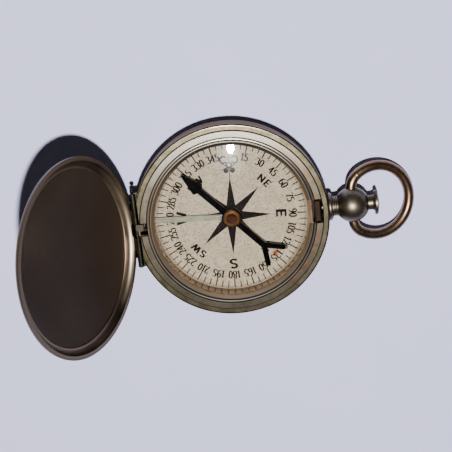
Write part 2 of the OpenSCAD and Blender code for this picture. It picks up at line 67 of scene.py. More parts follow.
# where the finish changes, in millimetres: radii from the case's, the lid's or the cap's own axis,
# the heights between which the case's side ends, and the rust spot's place on the dial
FLANGE_MIDDLE_R = 22.2
SEAT_R = 21.2
COVE_R = 19.12
LIP_R = 18.5
WEAR_R = 19.95
TAB_R = 17.6
SIDE_TOP_Z = (9.05, 9.6)
LID_BEAD_R = 19.9
LID_LAND_R = 21.5
CAP_RIM_R = 1.8
CAP_RING_R = 1.5
CAP_GROOVE_R = 0.98
RUST_AT = (9.2, -10.0, DIAL_Z / MM)

# printing on the dial, in millimetres
SCALE_OUTER_R = 17.32
SCALE_INNER_R = 16.95
LONG_TICK_R = 15.15
SHORT_TICK_R = 15.8
BOLD = 0.24
FINE = 0.07
NUMERAL_R = 14.2
LETTER_R = 11.5
STAR_TIP_R = 9.3
STAR_VALLEY_R = 2.7

# camera and lamp, in metres
CAMERA_AT = (0.00615, 0.09668, 0.37726)
CAMERA_RIGHT = (0.99344, -0.11397, 0.00978)
CAMERA_UP = (0.11263, 0.95957, -0.25795)
CAMERA_LENS = 132.15
LAMP_AT = (0.006, 0.023, 0.5)
LAMP_SIZE = 0.016
LAMP_POWER = 4.4
FLOOR_HALF = 1.5


# ---------------------------------------------------------------- node graphs
class Graph:
    """A material's node tree with short calls for the nodes it needs."""

    def __init__(self, name):
        self.material = bpy.data.materials.new(name)
        self.material.use_nodes = True
        self.tree = self.material.node_tree
        self.tree.nodes.clear()
        self.output = self.add("ShaderNodeOutputMaterial")
        self.coords = self.add("ShaderNodeTexCoord").outputs["Object"]

    def add(self, kind, inputs=None, **props):
        node = self.tree.nodes.new(kind)
        for key, value in props.items():
            setattr(node, key, value)
        for key, value in (inputs or {}).items():
            self.put(node.inputs[key], value)
        return node

    def put(self, socket, value):
        if isinstance(value, bpy.types.NodeSocket):
            self.tree.links.new(value, socket)
        else:
            socket.default_value = value

    def math(self, operation, *values):
        node = self.add("ShaderNodeMath", operation=operation)
        for n, value in enumerate(values):
            self.put(node.inputs[n], value)
        return node.outputs[0]

    def vector(self, operation, a, b=None, out=0):
        node = self.add("ShaderNodeVectorMath", operation=operation)
        self.put(node.inputs[0], a)
        if b is not None:
            self.put(node.inputs[1], b)
        return node.outputs[out]

    def noise(self, scale, detail=4.0, rough=0.55, vector=None):
        """Noise from 0 to 1, with scale features to the millimetre."""
        node = self.add("ShaderNodeTexNoise", {
            "Vector": vector or self.coords, "Scale": scale * 1000, "Detail": detail,
            "Roughness": rough})
        return node.outputs["Fac"]

    def stretched(self, factors):
        """Coordinates scaled on each axis, for streaks."""
        return self.vector("MULTIPLY", self.coords, factors)

    def ramp(self, fac, low, high):
        """0 below low, 1 above high, and a smooth step between."""
        node = self.add("ShaderNodeMapRange", {
            "Value": fac, "From Min": low, "From Max": high, "To Min": 0.0, "To Max": 1.0},
            interpolation_type="SMOOTHSTEP", clamp=True)
        return node.outputs["Result"]

    def scale(self, fac, low, high):
        """Takes 0..1 to low..high."""
        node = self.add("ShaderNodeMapRange", {
            "Value": fac, "From Min": 0.0, "From Max": 1.0, "To Min": low, "To Max": high}, clamp=True)
        return node.outputs["Result"]

    def mix(self, fac, a, b):
        """Colour a where fac is 0 and b where it is 1."""
        node = self.add("ShaderNodeMix", data_type="RGBA")
        self.put(node.inputs[0], fac)
        self.put(node.inputs[6], a)
        self.put(node.inputs[7], b)
        return node.outputs[2]

    def radius(self, vector=None):
        """Distance from the Z axis, in millimetres."""
        flat = self.vector("MULTIPLY", vector or self.coords, (1000, 1000, 0))
        return self.vector("LENGTH", flat, out=1)

    def axis(self, n, vector=None):
        """Distance along X, Y or Z (n is 0, 1 or 2), in millimetres."""
        parts = self.add("ShaderNodeSeparateXYZ", {0: vector or self.coords})
        return self.math("MULTIPLY", parts.outputs[n], 1000)

    def stripe(self, value, centre, half, soft):
        """1 where value is within half of centre, falling to 0 over soft."""
        off = self.math("ABSOLUTE", self.math("SUBTRACT", value, centre))
        return self.math("SUBTRACT", 1.0, self.ramp(off, half, half + soft))

    def near(self, point, inner, outer):
        """1 within inner millimetres of a point given in millimetres, 0 beyond outer."""
        at = self.vector("MULTIPLY", self.coords, (1000,) * 3)
        off = self.vector("DISTANCE", at, point, out=1)
        return self.math("SUBTRACT", 1.0, self.ramp(off, inner, outer))

    def bump(self, height, strength, distance):
        """A normal raised by height, up to distance millimetres."""
        return self.add("ShaderNodeBump", {
            "Height": height, "Strength": strength, "Distance": distance * MM}).outputs[0]

    def finish(self, color, rough, metallic=1.0, normal=None, **extra):
        inputs = {"Base Color": color, "Roughness": rough, "Metallic": metallic}
        inputs.update({key.replace("_", " "): value for key, value in extra.items()})
        if normal is not None:
            inputs["Normal"] = normal
        shader = self.add("ShaderNodeBsdfPrincipled", inputs)
        self.put(self.output.inputs["Surface"], shader.outputs[0])
        return self.material


def rgb(r, g, b):
    """sRGB 0..255 to the linear colour that a shader takes."""
    def linear(v):
        v /= 255
        return v / 12.92 if v <= 0.04045 else ((v + 0.055) / 1.055) ** 2.4
    return (linear(r), linear(g), linear(b), 1.0)


def aged_metal(name, light, mid, dark, rough=(0.25, 0.45), speck=0.35, blotch=0.25, streak=(1, 1, 1),
               speck_color=(60, 56, 34)):
    """Old plated metal: blotches of two tones, dark specks, fine scratches and an uneven gloss."""
    g = Graph(name)
    big = g.noise(blotch, 5, 0.6)
    fine = g.noise(4.0, 3, 0.7)
    scratch = g.noise(2.2, 2, 0.6, g.stretched(streak))
    color = g.mix(g.ramp(big, 0.35, 0.65), rgb(*mid), rgb(*light))
    stains = g.ramp(g.noise(blotch * 2.7, 6, 0.7), 0.52, 0.75)
    color = g.mix(g.math("MULTIPLY", stains, 0.8), color, rgb(*dark))
    specks = g.math("MULTIPLY", g.ramp(g.noise(2.4, 5, 0.75), 0.62, 0.74), speck)
    color = g.mix(specks, color, rgb(*speck_color))
    gloss = g.scale(g.math("MULTIPLY", g.math("ADD", big, scratch), 0.5), *rough)
    gloss = g.math("ADD", gloss, g.math("MULTIPLY", specks, 0.25))
    normal = g.bump(g.math("ADD", fine, scratch), 0.12, 0.03)
    return g, color, gloss, normal


def lid_frame(g):
    """Coordinates of the closed lid, for a lid modelled open."""
    moved = g.vector("SUBTRACT", g.coords, (HINGE_X, 0, HINGE_Z))
    turned = g.add("ShaderNodeVectorRotate", {
        "Vector": moved, "Axis": (0, 1, 0), "Angle": LID_OPEN}, rotation_type="AXIS_ANGLE").outputs[0]
    return g.vector("ADD", turned, (HINGE_X, 0, HINGE_Z))


# ---------------------------------------------------------------- materials
def make_materials():
    made = {}

    # silvered case gone olive-grey, with dark pits, greener towards its rim, brown down its side, and
    # painted shade inside its seat where the hinge notch shows it
    g, color, gloss, normal = aged_metal(
        "case_nickel", (114, 105, 86), (100, 91, 73), (70, 62, 48), rough=(0.19, 0.27), speck=0.8,
        blotch=0.45, speck_color=(50, 46, 28))
    r = g.radius()
    flange = g.stripe(r, FLANGE_MIDDLE_R, 0.5, 0.5)
    green = g.math("MULTIPLY", g.ramp(g.noise(0.5, 5, 0.7), 0.48, 0.6), flange)
    color = g.mix(g.math("MULTIPLY", green, 0.6), color, rgb(76, 78, 50))
    pit = g.math("MULTIPLY", g.ramp(g.noise(1.7, 5, 0.8), 0.6, 0.68), g.ramp(r, SEAT_R, SEAT_R + 0.2))
    color = g.mix(g.math("MULTIPLY", pit, 0.75), color, rgb(48, 46, 28))
    below = g.math("SUBTRACT", 1.0, g.ramp(g.axis(2), *SIDE_TOP_Z))
    below = g.math("MULTIPLY", below, g.ramp(r, SEAT_R + 0.1, SEAT_R + 0.3))
    color = g.mix(g.math("MULTIPLY", below, 0.9), color, rgb(84, 68, 59))
    # painted shade: the case floor inside the seat radius, seen only in the hinge notch, is painted
    # near-black
    seat_painted_shade = g.math("SUBTRACT", 1.0, g.ramp(r, SEAT_R - 0.05, SEAT_R + 0.05))
    color = g.mix(g.math("MULTIPLY", seat_painted_shade, 0.9), color, rgb(40, 31, 22))
    gloss = g.math("ADD", gloss, g.math("MULTIPLY", below, 0.2))
    made["case_nickel"] = g.finish(color, gloss, normal=normal, Specular_Tint=(0.7, 0.64, 0.57, 1.0))

    # silver ring: bright land and lip, a painted highlight across its +Y side, brown cove and inner
    # slope with painted shade on the cove towards -Y and +X and on the slope towards +Y, a copper bloom
    # beside the catch
    g, color, gloss, normal = aged_metal(
        "ring_silver", (110, 103, 88), (97, 90, 76), (74, 67, 54), rough=(0.2, 0.27), speck=0.45,
        blotch=0.35, speck_color=(72, 64, 48))
    r = g.radius()
    x = g.axis(0)
    # painted light and shade: towards +Y the land is painted lighter, the cove's brown thinner and the
    # inner slope near-black
    far_side_light_and_shade = g.ramp(g.axis(1), 6.0, 18.0)
    color = g.mix(g.math("MULTIPLY", far_side_light_and_shade, 0.7), color, rgb(146, 142, 132))
    cove = g.stripe(r, COVE_R, 0.42, 0.25)
    stain_thinned_where_lit = g.scale(g.noise(0.4, 5, 0.7), 0.75, 1.0)
    stain_thinned_where_lit = g.math("MULTIPLY", stain_thinned_where_lit, g.math("SUBTRACT", 1.0, g.math("MULTIPLY", far_side_light_and_shade, 0.75)))
    cove = g.math("MULTIPLY", cove, stain_thinned_where_lit)
    # painted shade: the cove goes darker towards -Y and towards +X
    near_side_shade = g.math("SUBTRACT", 1.0, g.ramp(g.axis(1), -14.0, -2.0))
    shaded = g.math("MAXIMUM", near_side_shade, g.ramp(x, 4.0, 15.0))
    color = g.mix(cove, color, g.mix(shaded, rgb(62, 49, 39), rgb(20, 15, 12)))
    east = g.ramp(x, 7.0, 15.0)
    wear = g.math("MULTIPLY", g.stripe(r, WEAR_R, 0.25, 0.45), east)
    wear = g.math("MULTIPLY", wear, g.ramp(g.noise(0.5, 4, 0.6), 0.36, 0.56))
    color = g.mix(g.math("MULTIPLY", wear, 0.42), color, rgb(138, 92, 70))
    outer = g.ramp(r, SEAT_R - 0.3, SEAT_R - 0.15)
    color = g.mix(g.math("MULTIPLY", outer, 0.8), color, rgb(48, 38, 26))
    # painted shade: the inner slope is painted near-black towards +Y and brown elsewhere
    bore = g.math("SUBTRACT", 1.0, g.ramp(r, LIP_R - 0.05, LIP_R + 0.05))
    slope = g.mix(far_side_light_and_shade, rgb(84, 68, 50), rgb(24, 19, 16))
    color = g.mix(g.math("MULTIPLY", bore, 0.9), color, slope)
    dull = g.math("MAXIMUM", cove, bore)
    metal = g.math("SUBTRACT", 1.0, g.math("MULTIPLY", dull, 0.6))
    gloss = g.math("ADD", gloss, g.math("MULTIPLY", dull, 0.15))
    made["ring_silver"] = g.finish(color, gloss, metal, normal)

    # brass wall between glass and dial, tarnished but glossy, darker at its +Y side
    g, color, gloss, normal = aged_metal(
        "cup_brass", (132, 104, 78), (112, 86, 62), (78, 60, 42), rough=(0.08, 0.2), speck=0.4,
        blotch=0.5, streak=(1, 1, 6), speck_color=(34, 25, 17))
    shade = g.ramp(g.axis(1), 4.0, 16.0)
    color = g.mix(g.math("MULTIPLY", shade, 0.8), color, rgb(40, 32, 25))
    made["cup_brass"] = g.finish(color, gloss, 0.55, normal)

    # printed card: warm grey with fine speckle, darker freckles and one rust spot
    g = Graph("dial_print")
    grain = g.noise(2.4, 3, 0.75)
    mottle = g.noise(0.45, 5, 0.65)
    color = g.mix(g.ramp(mottle, 0.3, 0.7), rgb(180, 163, 139), rgb(194, 178, 154))
    color = g.mix(g.math("MULTIPLY", g.ramp(grain, 0.49, 0.62), 0.7), color, rgb(116, 100, 80))
    freckle = g.ramp(g.noise(1.6, 5, 0.8), 0.66, 0.72)
    color = g.mix(g.math("MULTIPLY", freckle, 0.6), color, rgb(88, 70, 50))
    edge = g.ramp(g.radius(), 16.2, 17.5)
    color = g.mix(g.math("MULTIPLY", edge, 0.22), color, rgb(122, 104, 80))
    rust = g.math("MULTIPLY", g.near(RUST_AT, 0.3, 1.0), g.ramp(g.noise(2.0, 4, 0.7), 0.1, 0.45))
    color = g.mix(rust, color, rgb(172, 86, 34))
    made["dial_print"] = g.finish(color, g.scale(mottle, 0.7, 0.85), 0.0, g.bump(grain, 0.15, 0.02),
                                  Specular_IOR_Level=0.2)

    # printing ink, worn thin in places
    g = Graph("dial_ink")
    thin = g.ramp(g.noise(3.0, 4, 0.7), 0.55, 0.8)
    color = g.mix(g.math("MULTIPLY", thin, 0.3), rgb(24, 18, 20), rgb(84, 74, 62))
    gloss = g.scale(g.noise(1.2), 0.75, 0.95)
    normal = g.bump(g.noise(8.0), 0.2, 0.01)
    made["dial_ink"] = g.finish(color, gloss, 0.0, normal, Specular_IOR_Level=0.05)

    # blued steel, nearly black, with straw and rust towards worn spots
    g = Graph("needle_blued")
    cloud = g.noise(0.8, 5, 0.65)
    color = g.mix(g.ramp(cloud, 0.3, 0.7), rgb(15, 15, 18), rgb(25, 26, 31))
    worn = g.ramp(g.noise(2.2, 5, 0.8), 0.6, 0.72)
    color = g.mix(g.math("MULTIPLY", worn, 0.5), color, rgb(86, 70, 58))
    gloss = g.scale(cloud, 0.06, 0.12)
    made["needle_blued"] = g.finish(color, gloss, 1.0, g.bump(g.noise(2.0), 0.1, 0.01))

    # same steel where its edges are polished, in a pale, partly diffuse colour that also paints a
    # highlight along them
    g = Graph("needle_edge")
    streak = g.noise(1.5, 4, 0.6)
    color = g.mix(streak, rgb(200, 208, 220), rgb(120, 128, 142))
    made["needle_edge"] = g.finish(color, g.scale(streak, 0.2, 0.4), 0.6)

    # turned brass: dark rim, bright ring, dark groove round the jewel
    g, color, gloss, normal = aged_metal(
        "cap_brass", (46, 31, 20), (36, 24, 15), (30, 19, 12), rough=(0.14, 0.26), speck=0.4,
        blotch=0.8, speck_color=(44, 26, 14))
    r = g.radius()
    rim = g.ramp(r, CAP_RIM_R, CAP_RIM_R + 0.15)
    color = g.mix(g.math("MULTIPLY", rim, 0.8), color, rgb(24, 17, 13))
    bright = g.stripe(r, CAP_RING_R, 0.16, 0.14)
    color = g.mix(g.math("MULTIPLY", bright, 0.9), color, rgb(88, 59, 28))
    groove = g.stripe(r, CAP_GROOVE_R, 0.16, 0.12)
    color = g.mix(g.math("MULTIPLY", groove, 0.95), color, rgb(14, 8, 6))
    made["cap_brass"] = g.finish(color, gloss, normal=normal)

    g = Graph("jewel_ruby")
    color = g.mix(g.noise(1.5, 3), rgb(36, 8, 11), rgb(62, 16, 17))
    gloss = g.scale(g.noise(3.0), 0.04, 0.12)
    made["jewel_ruby"] = g.finish(color, gloss, 0.0, Coat_Weight=0.6, IOR=1.77)

    # dull nickel strip with a darker tab
    g, color, gloss, normal = aged_metal(
        "lever_nickel", (76, 75, 65), (66, 65, 56), (50, 50, 42), rough=(0.3, 0.45), speck=0.25,
        blotch=0.5, streak=(1, 8, 1))
    tab = g.ramp(g.radius(), TAB_R - 0.2, TAB_R + 0.2)
    color = g.mix(g.math("MULTIPLY", tab, 0.85), color, rgb(50, 43, 36))
    made["lever_nickel"] = g.finish(color, gloss, normal=normal)

    g, color, gloss, normal = aged_metal(
        "steel", (120, 122, 126), (100, 102, 106), (70, 70, 70), rough=(0.25, 0.4), speck=0.3,
        blotch=0.6, speck_color=(50, 40, 34))
    made["steel"] = g.finish(color, gloss, normal=normal)

    # lid: even brown patina, with a painted highlight on its hinge side and a lighter outer wall, partly
    # rub wear and partly painted highlight
    g = Graph("lid_patina")
    at = lid_frame(g)
    r = g.radius(at)
    cloud = g.noise(0.1, 3, 0.5, at)
    haze = g.noise(0.6, 4, 0.6, at)
    color = g.mix(g.ramp(cloud, 0.3, 0.7), rgb(56, 46, 40), rgb(61, 50, 42))
    color = g.mix(g.math("MULTIPLY", g.ramp(haze, 0.5, 0.75), 0.25), color, rgb(52, 42, 36))
    specks = g.math("MULTIPLY", g.ramp(g.noise(2.0, 5, 0.8, at), 0.64, 0.72), 0.35)
    color = g.mix(specks, color, rgb(40, 32, 26))
    # painted highlight: the hinge half of the lid is painted lighter
    hinge_side_highlight = g.math("SUBTRACT", 1.0, g.ramp(g.axis(0, at), -19.0, -6.0))
    color = g.mix(g.math("MULTIPLY", hinge_side_highlight, 0.7), color, rgb(80, 64, 52))
    # the outer wall is painted lighter: partly rub wear, partly painted highlight
    wall = g.ramp(r, LID_LAND_R + 0.1, LID_LAND_R + 0.7)
    color = g.mix(g.math("MULTIPLY", wall, 0.5), color, rgb(112, 96, 76))
    gloss = g.math("ADD", g.scale(haze, 0.34, 0.42), g.math("MULTIPLY", specks, 0.2))
    normal = g.bump(g.math("ADD", g.noise(3.0, 3, 0.6, at), haze), 0.08, 0.03)
    made["lid_patina"] = g.finish(color, gloss, 0.7, normal)

    # lid's inner ring: brown, lighter on its bead and its land, partly rubbed bright and partly painted
    # highlight, with a strong painted highlight on its hinge side
    g = Graph("lid_rim_worn_and_highlit")
    at = lid_frame(g)
    r = g.radius(at)
    cloud = g.noise(0.3, 5, 0.6, at)
    color = g.mix(g.ramp(cloud, 0.3, 0.7), rgb(70, 58, 47), rgb(82, 69, 55))
    # bead and land are painted lighter: partly rub wear, partly painted highlight
    bead = g.stripe(r, LID_BEAD_R, 0.2, 0.2)
    color = g.mix(g.math("MULTIPLY", bead, 0.6), color, rgb(132, 114, 90))
    # painted highlight: the hinge side of the ring is painted much lighter
    hinge_side_highlight = g.math("SUBTRACT", 1.0, g.ramp(g.axis(0, at), -20.0, -12.0))
    color = g.mix(g.math("MULTIPLY", hinge_side_highlight, 0.8), color, rgb(200, 182, 158))
    land = g.ramp(r, LID_LAND_R - 0.1, LID_LAND_R + 0.1)
    color = g.mix(g.math("MULTIPLY", land, 0.45), color, rgb(136, 124, 98))
    specks = g.math("MULTIPLY", g.ramp(g.noise(2.0, 5, 0.8, at), 0.6, 0.72), 0.5)
    color = g.mix(specks, color, rgb(50, 40, 30))
    gloss = g.math("ADD", g.scale(cloud, 0.34, 0.46), g.math("MULTIPLY", specks, 0.2))
    made["lid_rim_worn_and_highlit"] = g.finish(color, gloss, normal=g.bump(g.noise(2.5, 3, 0.6, at), 0.1, 0.03))

    g, color, gloss, normal = aged_metal(
        "hinge_dark", (50, 48, 38), (32, 30, 25), (20, 19, 17), rough=(0.3, 0.5), speck=0.9, blotch=0.7,
        speck_color=(18, 17, 15))
    made["hinge_dark"] = g.finish(color, gloss, normal=normal)

    g = Graph("spring_blued")
    cloud = g.noise(1.0, 4, 0.6)
    color = g.mix(g.ramp(cloud, 0.3, 0.7), rgb(18, 18, 19), rgb(28, 27, 26))
    normal = g.bump(g.noise(6.0), 0.15, 0.02)
    made["spring_blued"] = g.finish(color, g.scale(cloud, 0.25, 0.45), 1.0, normal)

    g, color, gloss, normal = aged_metal(
        "catch_bronze", (40, 29, 21), (30, 22, 17), (20, 15, 12), rough=(0.36, 0.55), speck=0.5,
        blotch=0.6, speck_color=(30, 22, 16))
    made["catch_bronze"] = g.finish(color, gloss, normal=normal)

    g, color, gloss, normal = aged_metal(
        "pendant_patina", (122, 113, 97), (104, 95, 81), (76, 66, 55), rough=(0.33, 0.44), speck=0.3,
        blotch=0.3, speck_color=(40, 30, 22))
    warm = g.math("MULTIPLY", g.ramp(g.noise(0.45, 4, 0.6), 0.55, 0.7), 0.35)
    color = g.mix(warm, color, rgb(116, 76, 52))
    made["pendant_patina"] = g.finish(color, gloss, normal=normal)

    g, color, gloss, normal = aged_metal(
        "bow_bronze", (142, 119, 95), (118, 98, 78), (78, 66, 56), rough=(0.26, 0.38), speck=0.35,
        blotch=0.35, speck_color=(46, 34, 26))
    warm = g.math("MULTIPLY", g.ramp(g.noise(0.3, 4, 0.6), 0.5, 0.68), 0.6)
    color = g.mix(warm, color, rgb(134, 86, 56))
    made["bow_bronze"] = g.finish(color, gloss, normal=normal)

    made["watch_glass"] = glass_material()
    return made


def glass_material():
    """Clear glass, hazed by fine scratches, that lets the lamps through to the dial."""
    g = Graph("watch_glass")
    smear = g.ramp(g.noise(0.5, 5, 0.7), 0.45, 0.8)
    glass = g.add("ShaderNodeBsdfPrincipled", {
        "Base Color": g.mix(smear, (1, 1, 1, 1), (0.97, 0.98, 0.96, 1)),
        "Roughness": g.scale(smear, 0.0, 0.02),
        "Transmission Weight": 1.0, "IOR": 1.5, "Coat Weight": 0.009, "Coat Roughness": 0.13})
    clear = g.add("ShaderNodeBsdfTransparent", {"Color": (0.97, 0.98, 0.97, 1)})
    path = g.add("ShaderNodeLightPath").outputs
    lamp_side = g.math("MAXIMUM", path["Is Shadow Ray"], path["Is Diffuse Ray"])
    both = g.add("ShaderNodeMixShader", {0: lamp_side, 1: glass.outputs[0], 2: clear.outputs[0]})
    g.put(g.output.inputs["Surface"], both.outputs[0])
    return g.material


MATERIALS = make_materials()
SLOT_OF = {
    "case_back": "case_nickel", "case_band": "case_nickel", "bezel": "ring_silver",
    "glass": "watch_glass", "dial_cup": "cup_brass", "dial": "dial_print",
    "pivot_post": "cap_brass", "pivot_pin": "steel",
    "needle": "needle_blued", "needle_cap": "cap_brass", "cap_jewel": "jewel_ruby",
    "lift_lever": "lever_nickel", "lever_pin": "steel", "lever_bracket": "cap_brass",
    "lid_shell": "lid_patina", "lid_rim": "lid_rim_worn_and_highlit", "lid_knuckles": "hinge_dark",
    "case_knuckles": "hinge_dark", "hinge_pin": "hinge_dark",
    "lid_spring": "spring_blued", "lid_spring_screw": "spring_blued",
    "lock_spring": "spring_blued", "lock_spring_screw": "spring_blued",
    "latch_catch": "catch_bronze", "pendant_collar": "pendant_patina",
    "pendant_ball": "pendant_patina", "push_stem": "pendant_patina",
    "push_button": "pendant_patina", "stem_spring": "steel", "bow": "bow_bronze",
}


def dress(obj, material):
    """Puts one material on an object, whatever slots it came with."""
    obj.data.materials.clear()
    obj.data.materials.append(MATERIALS[material])
    for face in obj.data.polygons:
        face.material_index = 0


def soften(obj, width, edge_material=None):
    """Rounds a CAD node's sharp edges a little, in a brighter metal if one is given."""
    bevel = obj.modifiers.new("edges", "BEVEL")
    bevel.width = width * MM
    bevel.segments = 2
    bevel.limit_method = "ANGLE"
    bevel.angle_limit = math.radians(50)
    if edge_material:
        obj.data.materials.append(MATERIALS[edge_material])
        bevel.material = 1


for node_name, node in nodes.items():
    dress(node, SLOT_OF[node_name])
soften(nodes["needle"], 0.13, "needle_edge")
for node_name in ("needle_cap", "lift_lever", "latch_catch", "lid_knuckles", "case_knuckles"):
    soften(nodes[node_name], 0.07)


# ---------------------------------------------------------------- print on the dial
def polar(r, heading):
    """A point on the dial, r millimetres out at a heading in degrees from the dial's own north."""
    a = math.radians(heading) + MOVEMENT_TURN
    return Vector((r * MM * math.sin(a), r * MM * math.cos(a), 0))


class Print:
    """Flat printing laid on the dial as thin closed plates."""

    THICK = 0.012 * MM

    def __init__(self, name):
        self.name = name
        self.mesh = bmesh.new()
        self.z = DIAL_Z + 0.004 * MM

    def plate(self, points):
        """A thin plate over a convex outline, given anticlockwise from above."""
        low = [self.mesh.verts.new((p.x, p.y, self.z)) for p in points]
        high = [self.mesh.verts.new((p.x, p.y, self.z + self.THICK)) for p in points]
        self.mesh.faces.new(high)
        self.mesh.faces.new(low[::-1])
        for n in range(len(points)):
            m = (n + 1) % len(points)
            self.mesh.faces.new((low[n], low[m], high[m], high[n]))

    def strip(self, left, right, closed=False):
        """A thin plate between two rows of points."""
        rows = []
        for a, b in zip(left, right):
            rows.append([self.mesh.verts.new((p.x, p.y, z)) for p, z in
                         ((a, self.z), (b, self.z), (b, self.z + self.THICK), (a, self.z + self.THICK))])
        count = len(rows)
        for n in range(count if closed else count - 1):
            m = (n + 1) % count
            for k in range(4):
                self.mesh.faces.new((rows[n][k], rows[n][(k + 1) % 4], rows[m][(k + 1) % 4], rows[m][k]))
        if not closed:
            self.mesh.faces.new(rows[0][::-1])
            self.mesh.faces.new(rows[-1])

    def ring(self, r, width, steps=360):
        self.strip([polar(r - width / 2, 360 * n / steps) for n in range(steps)],
                   [polar(r + width / 2, 360 * n / steps) for n in range(steps)], closed=True)

    def tick(self, r0, r1, heading, width):
        half = math.degrees(width / 2 / ((r0 + r1) / 2))
        self.plate([polar(r0, heading + half), polar(r1, heading + half), polar(r1, heading - half),
                    polar(r0, heading - half)])

    def stroke(self, points, place, thick, thin, closed=False):
        """A pen stroke along points in glyph units, thick where it runs up or down and thin across."""
        left, right = [], []
        count = len(points)
        for n, (x, y) in enumerate(points):
            if closed:
                (x0, y0), (x1, y1) = points[n - 1], points[(n + 1) % count]
            else:
                (x0, y0), (x1, y1) = points[max(0, n - 1)], points[min(count - 1, n + 1)]
            dx, dy = x1 - x0, y1 - y0
            size = math.hypot(dx, dy) or 1
            dx, dy = dx / size, dy / size
            half = (thin + (thick - thin) * abs(dy) ** 1.5) / 2
            left.append(place(x - dy * half, y + dx * half))
            right.append(place(x + dy * half, y - dx * half))
        self.strip(left, right, closed)

    def done(self):
        bmesh.ops.recalc_face_normals(self.mesh, faces=self.mesh.faces)
        data = bpy.data.meshes.new(self.name)
        self.mesh.to_mesh(data)
        self.mesh.free()
        obj = bpy.data.objects.new(self.name, data)
        bpy.context.scene.collection.objects.link(obj)
        data.materials.append(MATERIALS["dial_ink"])
        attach(obj, "case")


def arc(cx, cy, rx, ry, a0, a1, steps=14):
    """Points along an ellipse's arc, angles in degrees anticlockwise from +x."""
    return [(cx + rx * math.cos(math.radians(a0 + (a1 - a0) * n / steps)),
             cy + ry * math.sin(math.radians(a0 + (a1 - a0) * n / steps))) for n in range(steps + 1)]


def pen(*points):
    """An open stroke through points."""
    return list(points), False


def curve(*runs):
    """An open stroke along rows of points, one after another."""
    return [point for run in runs for point in run], False


def hoop(cx, cy, rx, ry):
    """A closed stroke round an ellipse."""
    return arc(cx, cy, rx, ry, 90, 90 - 360, 24)[:-1], True


# each character's width and strokes, in a cell 1 high
DIGITS = {
    "0": (0.50, [hoop(0.25, 0.5, 0.17, 0.46)]),
    "1": (0.36, [pen((0.18, 0.97), (0.18, 0.5), (0.18, 0.03)),
                 pen((0.06, 0.84), (0.12, 0.88), (0.18, 0.96)), pen((0.05, 0.03), (0.31, 0.03))]),
    "2": (0.50, [curve(arc(0.25, 0.72, 0.16, 0.24, 165, -35), [(0.22, 0.28), (0.07, 0.05)]),
                 pen((0.06, 0.05), (0.25, 0.06), (0.44, 0.05), (0.45, 0.18))]),
    "3": (0.48, [curve(arc(0.22, 0.74, 0.16, 0.22, 155, -80)),
                 curve(arc(0.22, 0.27, 0.18, 0.25, 85, -155))]),
    "4": (0.52, [pen((0.34, 0.97), (0.34, 0.5), (0.34, 0.03)),
                 pen((0.34, 0.95), (0.19, 0.6), (0.04, 0.3)),
                 pen((0.04, 0.3), (0.25, 0.3), (0.48, 0.3)), pen((0.22, 0.03), (0.46, 0.03))]),
    "5": (0.48, [pen((0.42, 0.93), (0.26, 0.94), (0.12, 0.93)),
                 pen((0.12, 0.95), (0.11, 0.75), (0.10, 0.54)),
                 curve(arc(0.22, 0.3, 0.18, 0.28, 125, -155))]),
    "6": (0.50, [curve(arc(0.38, 0.5, 0.30, 0.46, 80, 180), [(0.08, 0.35)]),
                 hoop(0.25, 0.28, 0.16, 0.25)]),
    "7": (0.46, [pen((0.05, 0.93), (0.24, 0.94), (0.43, 0.93)),
                 pen((0.42, 0.93), (0.26, 0.5), (0.17, 0.03)), pen((0.05, 0.93), (0.05, 0.8))]),
    "8": (0.50, [hoop(0.25, 0.74, 0.14, 0.22), hoop(0.25, 0.27, 0.17, 0.25)]),
    "9": (0.50, [curve(arc(0.12, 0.5, 0.30, 0.46, -100, 0), [(0.42, 0.65)]),
                 hoop(0.25, 0.72, 0.16, 0.25)]),
}
LETTERS = {
    "N": (0.80, [pen((0.12, 0), (0.12, 0.5), (0.12, 1)),
                 pen((0.12, 0.97), (0.40, 0.5), (0.68, 0.03)),
                 pen((0.68, 0), (0.68, 0.5), (0.68, 1))]),
    "E": (0.70, [pen((0.12, 0), (0.12, 0.5), (0.12, 1)), pen((0.06, 0.93), (0.62, 0.93)),
                 pen((0.12, 0.5), (0.56, 0.5)), pen((0.06, 0.07), (0.62, 0.07))]),
    "S": (0.66, [curve(arc(0.33, 0.725, 0.23, 0.205, 25, 270, 18),
                       arc(0.33, 0.285, 0.25, 0.215, 80, -155, 18)[1:])]),
    "W": (1.05, [pen((0.05, 1), (0.17, 0.5), (0.29, 0.03)),
                 pen((0.29, 0.03), (0.40, 0.5), (0.52, 0.95)),
                 pen((0.52, 0.95), (0.64, 0.5), (0.76, 0.03)),
                 pen((0.76, 0.03), (0.88, 0.5), (1.00, 1))]),
}


def write(ink, text, table, heading, r, size, thick, thin, squeeze=1.0, gap=0.0):
    """Writes a word centred on a heading with its tops outwards, bent round the dial."""
    total = sum(table[c][0] for c in text) + gap * (len(text) - 1)
    at = -total / 2
    for c in text:
        width, strokes = table[c]
        middle = (at + width / 2) * size * squeeze
        turn = math.degrees(middle / r)

        def place(x, y, turn=turn, width=width):
            across = (x - width / 2) * size * squeeze
            out = r + (y - 0.5) * size
            a = math.radians(heading + turn) + MOVEMENT_TURN
            tangent = Vector((math.cos(a), -math.sin(a), 0))
            outward = Vector((math.sin(a), math.cos(a), 0))
            return (outward * out + tangent * across) * MM

        for points, closed in strokes:
            ink.stroke(points, place, thick, thin, closed)
        at += width + gap


